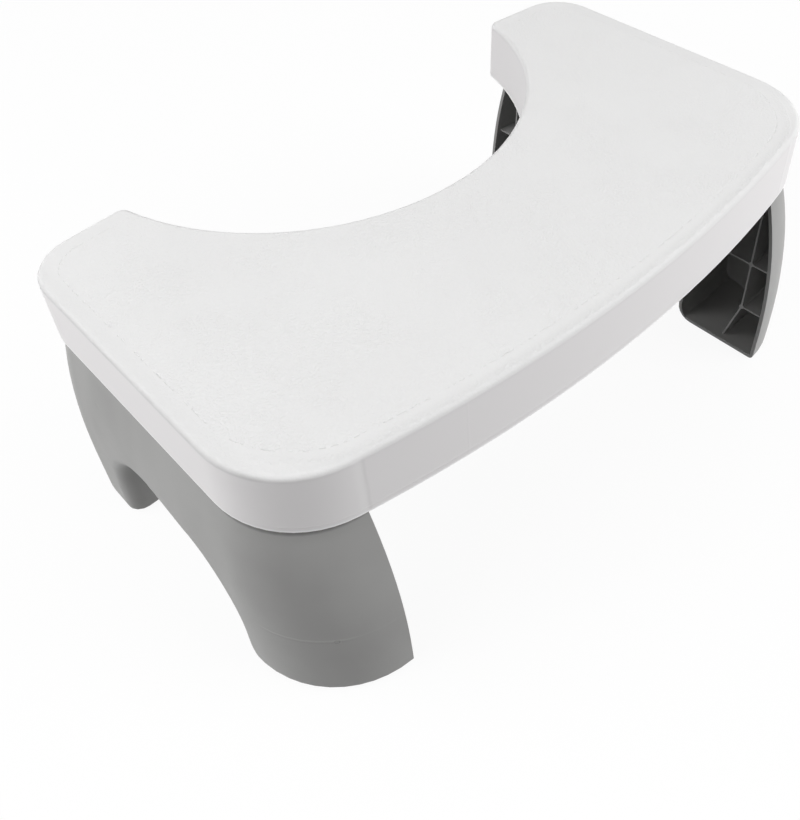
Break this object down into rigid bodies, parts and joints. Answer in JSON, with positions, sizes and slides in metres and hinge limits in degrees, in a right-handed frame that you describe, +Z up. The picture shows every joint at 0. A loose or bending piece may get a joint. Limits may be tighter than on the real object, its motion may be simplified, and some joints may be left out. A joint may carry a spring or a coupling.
{
  "type": "toilet footstool",
  "caption": "Low footstool that wraps a toilet's foot: a skirted white step with a round bay in its rear side, on two hollow grey leg shells that pull off.",
  "frame": {"origin": "middle of the footprint, on the floor that the foot pads stand on", "axes": "+X to the right of a person who stands in front and looks at the toilet, +Y to the rear, where the bay opens, +Z up"},
  "size_m": [0.433, 0.2529, 0.168],
  "materials": {
    "deck_plastic": "off-white moulded plastic, smooth skirt, fine leather-like grain on top",
    "leg_plastic": "mid-grey moulded plastic, satin",
    "foot_pad": "dull black rubber foam"
  },
  "bodies": {
    "deck": {"deck": "deck_plastic"},
    "left_leg": {"left_leg": "leg_plastic", "left_front_pad": "foot_pad", "left_rear_pad": "foot_pad"},
    "right_leg": {"right_leg": "leg_plastic", "right_front_pad": "foot_pad", "right_rear_pad": "foot_pad"}
  },
  "joints": [
    {"name": "left_leg_pull", "type": "slide", "parent": "deck", "child": "left_leg", "axis": [0, 0, -1], "range_m": [0, 0.036]},
    {"name": "right_leg_pull", "type": "slide", "parent": "deck", "child": "right_leg", "axis": [0, 0, -1], "range_m": [0, 0.036]}
  ]
}
